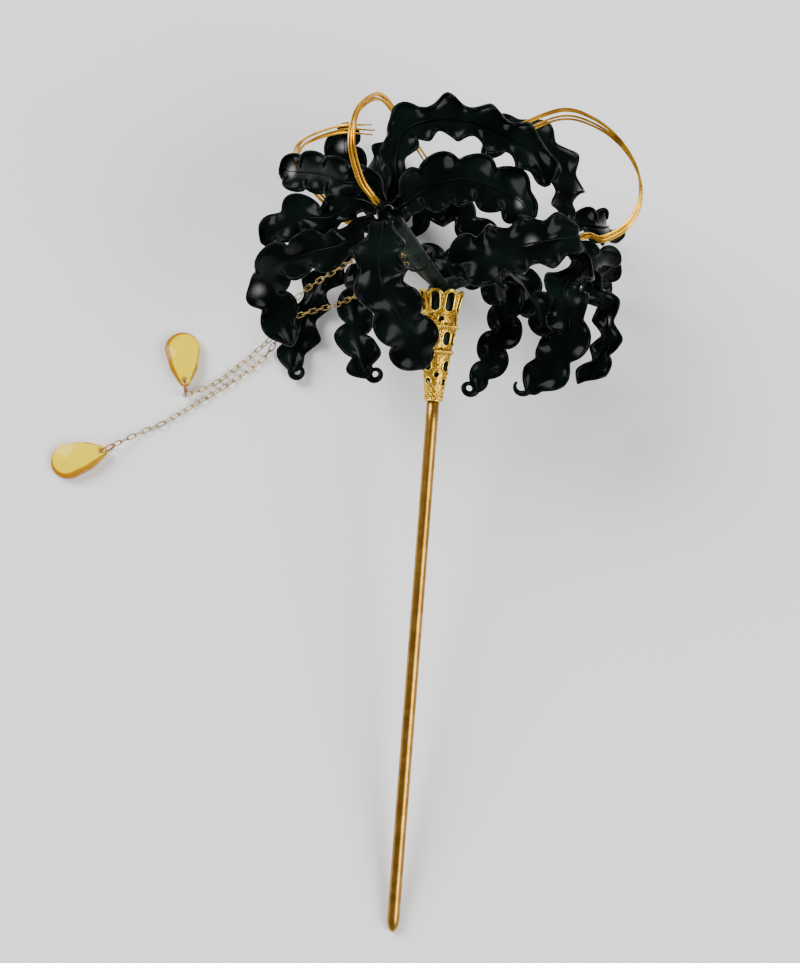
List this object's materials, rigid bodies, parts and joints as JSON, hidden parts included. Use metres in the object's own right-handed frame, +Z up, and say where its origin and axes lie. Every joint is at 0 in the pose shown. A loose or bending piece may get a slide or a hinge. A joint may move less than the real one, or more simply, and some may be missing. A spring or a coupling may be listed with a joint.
{
  "type": "kanzashi hair stick",
  "caption": "Hair stick with a straight round shaft, a pierced metal cap, ruffled recurved flower petals, arching wire stamens and fine chains ending in flat teardrops.",
  "frame": {"origin": "on the surface that the piece lies on, under the middle of its box", "axes": "+Z up from that surface, +Y along the length toward the flower, +X to the right as seen from above"},
  "size_m": [0.1393, 0.1985, 0.0706],
  "materials": {
    "gold_metal": "polished gold-coloured metal",
    "stem_tape": "waxy dark green stem tape",
    "petal_resin": "glossy, nearly black green resin",
    "amber_drop": "clear amber yellow, polished"
  },
  "bodies": {
    "root": {"stick": "gold_metal", "cap": "gold_metal", "stems": "stem_tape", "front_calyx": "stem_tape", "right_calyx": "stem_tape", "back_calyx": "stem_tape", "front_petal_1": "petal_resin", "front_petal_2": "petal_resin", "front_petal_3": "petal_resin", "front_petal_4": "petal_resin", "front_petal_5": "petal_resin", "front_petal_6": "petal_resin", "right_petal_1": "petal_resin", "right_petal_2": "petal_resin", "right_petal_3": "petal_resin", "right_petal_4": "petal_resin", "right_petal_5": "petal_resin", "right_petal_6": "petal_resin", "back_petal_1": "petal_resin", "back_petal_2": "petal_resin", "back_petal_3": "petal_resin", "back_petal_4": "petal_resin", "back_petal_5": "petal_resin", "back_petal_6": "petal_resin", "front_stamens": "gold_metal", "right_stamens": "gold_metal", "back_stamens": "gold_metal", "chain_ring": "gold_metal", "chain_short": "gold_metal", "ring_short": "gold_metal", "drop_short": "amber_drop", "chain_long": "gold_metal", "ring_long": "gold_metal", "drop_long": "amber_drop"}
  },
  "joints": []
}
